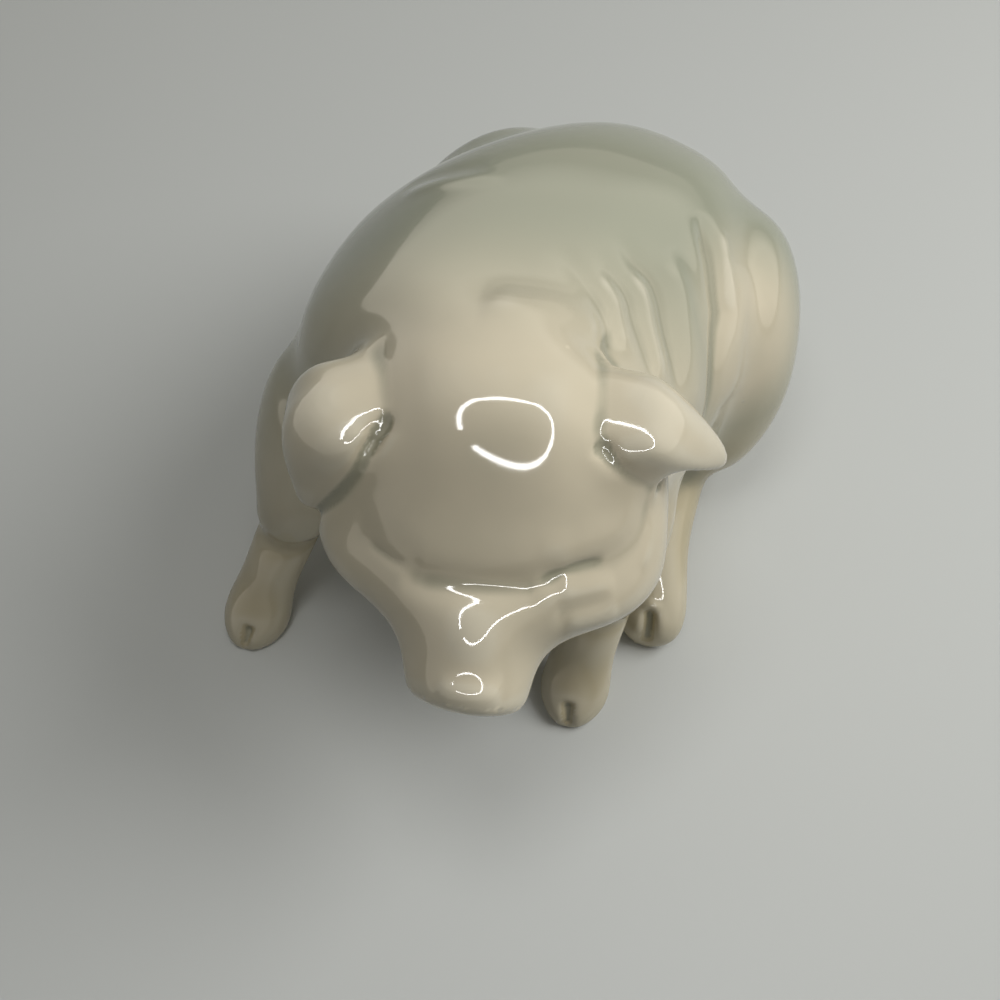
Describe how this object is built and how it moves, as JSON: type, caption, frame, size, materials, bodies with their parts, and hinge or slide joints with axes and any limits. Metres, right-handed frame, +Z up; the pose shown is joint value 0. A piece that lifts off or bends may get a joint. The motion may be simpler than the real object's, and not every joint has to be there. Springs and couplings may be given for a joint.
{
  "type": "pig figurine",
  "caption": "Glazed porcelain pig sitting on its haunches, head lowered over its forelegs and body bent to its left.",
  "frame": {"origin": "on the table, under the middle of the figure's bounding box", "axes": "+X to the pig's left, +Y towards its rump, +Z up"},
  "size_m": [0.1063, 0.1218, 0.0843],
  "materials": {
    "glaze": "gloss"
  },
  "bodies": {
    "root": {"torso_shell": "glaze", "head_shell": "glaze", "ear_left": "glaze", "ear_right": "glaze", "foreleg_left": "glaze", "foreleg_right": "glaze", "hind_leg_left": "glaze", "hind_leg_right": "glaze", "tail": "glaze"}
  },
  "joints": []
}
